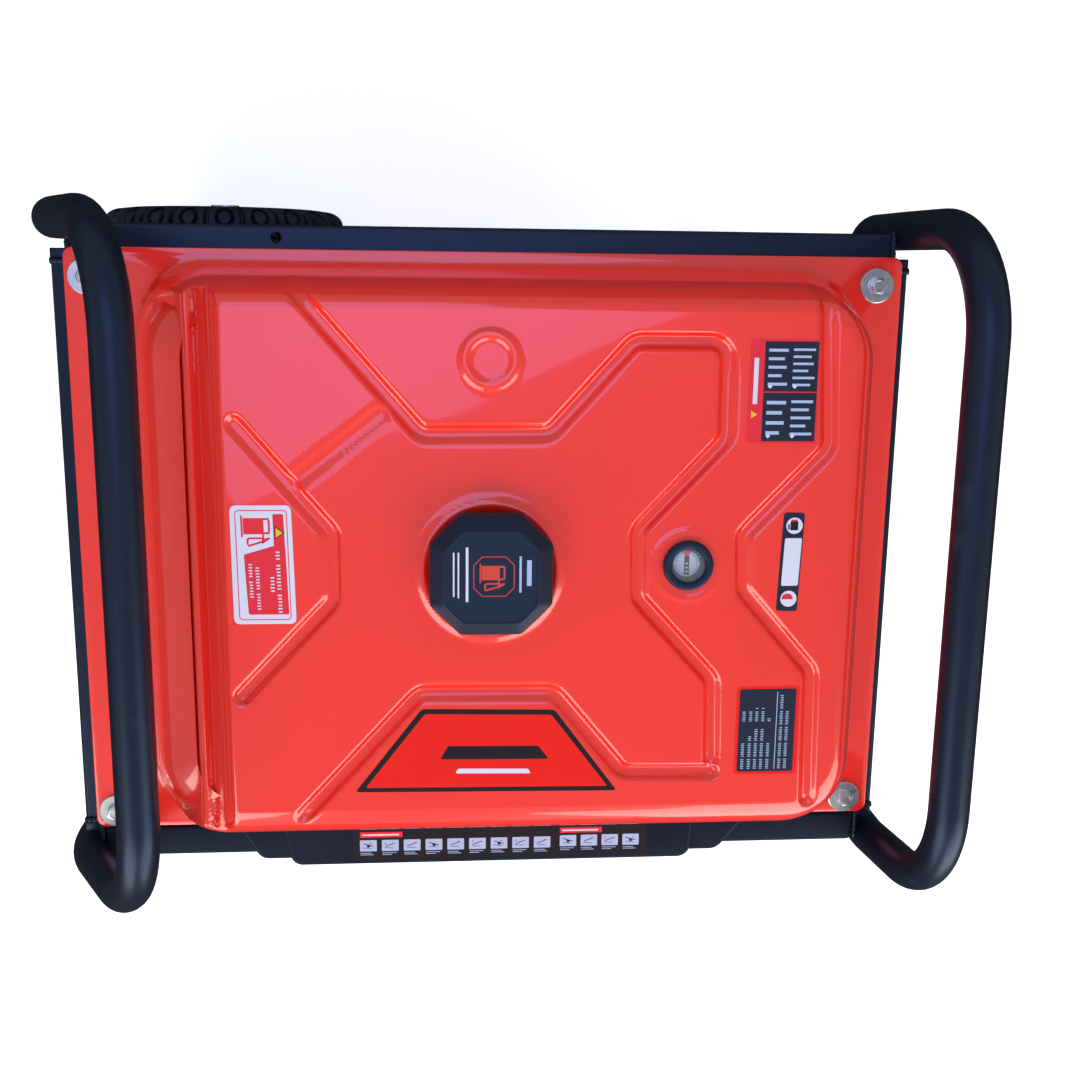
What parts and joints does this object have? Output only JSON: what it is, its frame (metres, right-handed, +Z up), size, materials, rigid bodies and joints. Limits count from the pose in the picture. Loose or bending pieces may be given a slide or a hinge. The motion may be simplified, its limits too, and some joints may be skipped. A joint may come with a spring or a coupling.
{
  "type": "portable generator",
  "caption": "Open-frame portable generator with fuel tank, engine, alternator, control panel, end hoops and two transport wheels.",
  "frame": {"origin": "on the ground under the middle of the machine's bounding box", "axes": "+X along the machine from the wheel end to the alternator end, +Y from the control panel to the back, +Z up"},
  "size_m": [0.752, 0.584, 0.5809],
  "materials": {
    "frame_black": "satin powder coat",
    "tank_red": "gloss enamel",
    "zinc": "blue zinc plate",
    "rubber": "moulded",
    "tyre": "moulded",
    "black_plastic": "fine grain",
    "cast_aluminium": "as cast",
    "steel": "machined",
    "silencer_steel": "heat-stained sheet",
    "rotor": "copper windings on steel laminations",
    "brass": "machined",
    "white_plastic": "moulded",
    "clear_lens": "clear",
    "signal_red": "moulded",
    "filter_foam": "open-cell foam"
  },
  "bodies": {
    "chassis": {"left_hoop": "frame_black", "right_hoop": "frame_black", "front_skid": "frame_black", "back_skid": "frame_black", "front_rail": "frame_black", "back_rail": "frame_black", "left_rail": "frame_black", "right_rail": "frame_black", "left_bearer": "frame_black", "right_bearer": "frame_black", "front_axle": "zinc", "back_axle": "zinc", "front_foot": "rubber", "back_foot": "rubber", "tank_upper_shell": "tank_red", "tank_lower_pan": "tank_red", "tank_bolt_front_left": "zinc", "tank_bolt_front_right": "zinc", "tank_bolt_back_left": "zinc", "tank_bolt_back_right": "zinc", "filler_strainer": "zinc", "gauge_body": "black_plastic", "gauge_lens": "clear_lens", "fuel_tap": "brass", "fuel_hose": "rubber", "crankcase": "cast_aluminium", "oil_dipstick": "black_plastic", "cylinder_head": "cast_aluminium", "valve_cover": "frame_black", "spark_plug_cap": "rubber", "fan_housing": "black_plastic", "recoil_housing": "black_plastic", "alternator_stator": "cast_aluminium", "alternator_end_cover": "black_plastic", "carburettor": "cast_aluminium", "air_filter_case": "black_plastic", "air_filter_cover": "black_plastic", "air_filter_element": "filter_foam", "silencer": "silencer_steel", "control_panel": "black_plastic", "voltmeter": "white_plastic", "battery": "black_plastic", "battery_clamp": "zinc"},
    "front_wheel": {"front_rim": "frame_black", "front_tyre": "tyre"},
    "back_wheel": {"back_rim": "frame_black", "back_tyre": "tyre"},
    "cap": {"fuel_cap": "black_plastic", "cap_seal": "rubber"},
    "float": {"gauge_float": "signal_red"},
    "pointer": {"gauge_pointer": "white_plastic"},
    "tap_lever": {"fuel_tap_lever": "signal_red"},
    "grip": {"recoil_grip": "black_plastic"},
    "shaft": {"crankshaft": "steel", "alternator_rotor": "rotor"},
    "choke": {"choke_lever": "signal_red"},
    "flap_left": {"socket_flap_left": "black_plastic"},
    "flap_right": {"socket_flap_right": "black_plastic"},
    "breaker": {"breaker_lever": "signal_red"},
    "key": {"ignition_key": "steel"}
  },
  "joints": [
    {"name": "front_wheel_spin", "type": "hinge", "parent": "chassis", "child": "front_wheel", "pos_m": [-0.256, -0.247, 0.12], "axis": [0, 1, 0], "continuous": true},
    {"name": "back_wheel_spin", "type": "hinge", "parent": "chassis", "child": "back_wheel", "pos_m": [-0.256, 0.247, 0.12], "axis": [0, 1, 0], "continuous": true},
    {"name": "cap_turn", "type": "hinge", "parent": "chassis", "child": "cap", "pos_m": [-0.003, 0.008, 0.541], "axis": [0, 0, 1], "range_deg": [0, 90]},
    {"name": "float_swing", "type": "hinge", "parent": "chassis", "child": "float", "pos_m": [0.151, 0.011, 0.485], "axis": [0, 1, 0], "range_deg": [-15, 60]},
    {"name": "pointer_turn", "type": "hinge", "parent": "chassis", "child": "pointer", "pos_m": [0.151, 0.011, 0.52], "axis": [0, 0, 1], "range_deg": [-20, 75]},
    {"name": "tap_turn", "type": "hinge", "parent": "chassis", "child": "tap_lever", "pos_m": [-0.2413, -0.12, 0.366], "axis": [1, 0, 0], "range_deg": [0, 90]},
    {"name": "grip_pull", "type": "slide", "parent": "chassis", "child": "grip", "axis": [-1, 0, 0], "range_m": [0, 0.7], "stiffness_N_per_m": 12, "springref_m": -0.05},
    {"name": "shaft_spin", "type": "hinge", "parent": "chassis", "child": "shaft", "pos_m": [0, 0, 0.222], "axis": [1, 0, 0], "continuous": true},
    {"name": "choke_turn", "type": "hinge", "parent": "chassis", "child": "choke", "pos_m": [-0.1443, -0.062, 0.3413], "axis": [1, 0, 0], "range_deg": [-60, 0]},
    {"name": "flap_left_lift", "type": "hinge", "parent": "chassis", "child": "flap_left", "pos_m": [0.04, -0.2838, 0.362], "axis": [1, 0, 0], "range_deg": [-110, 0], "stiffness_Nm_per_rad": 0.01, "springref_deg": 20.05},
    {"name": "flap_right_lift", "type": "hinge", "parent": "chassis", "child": "flap_right", "pos_m": [0.128, -0.2838, 0.362], "axis": [1, 0, 0], "range_deg": [-110, 0], "stiffness_Nm_per_rad": 0.01, "springref_deg": 20.05},
    {"name": "breaker_throw", "type": "hinge", "parent": "chassis", "child": "breaker", "pos_m": [-0.048, -0.275, 0.332], "axis": [1, 0, 0], "range_deg": [-25, 25]},
    {"name": "key_turn", "type": "hinge", "parent": "chassis", "child": "key", "pos_m": [-0.125, -0.281, 0.287], "axis": [0, 1, 0], "range_deg": [0, 90]}
  ],
  "couplings": [
    {"joint": "pointer_turn", "follows": "float_swing", "ratio": 1.2}
  ]
}
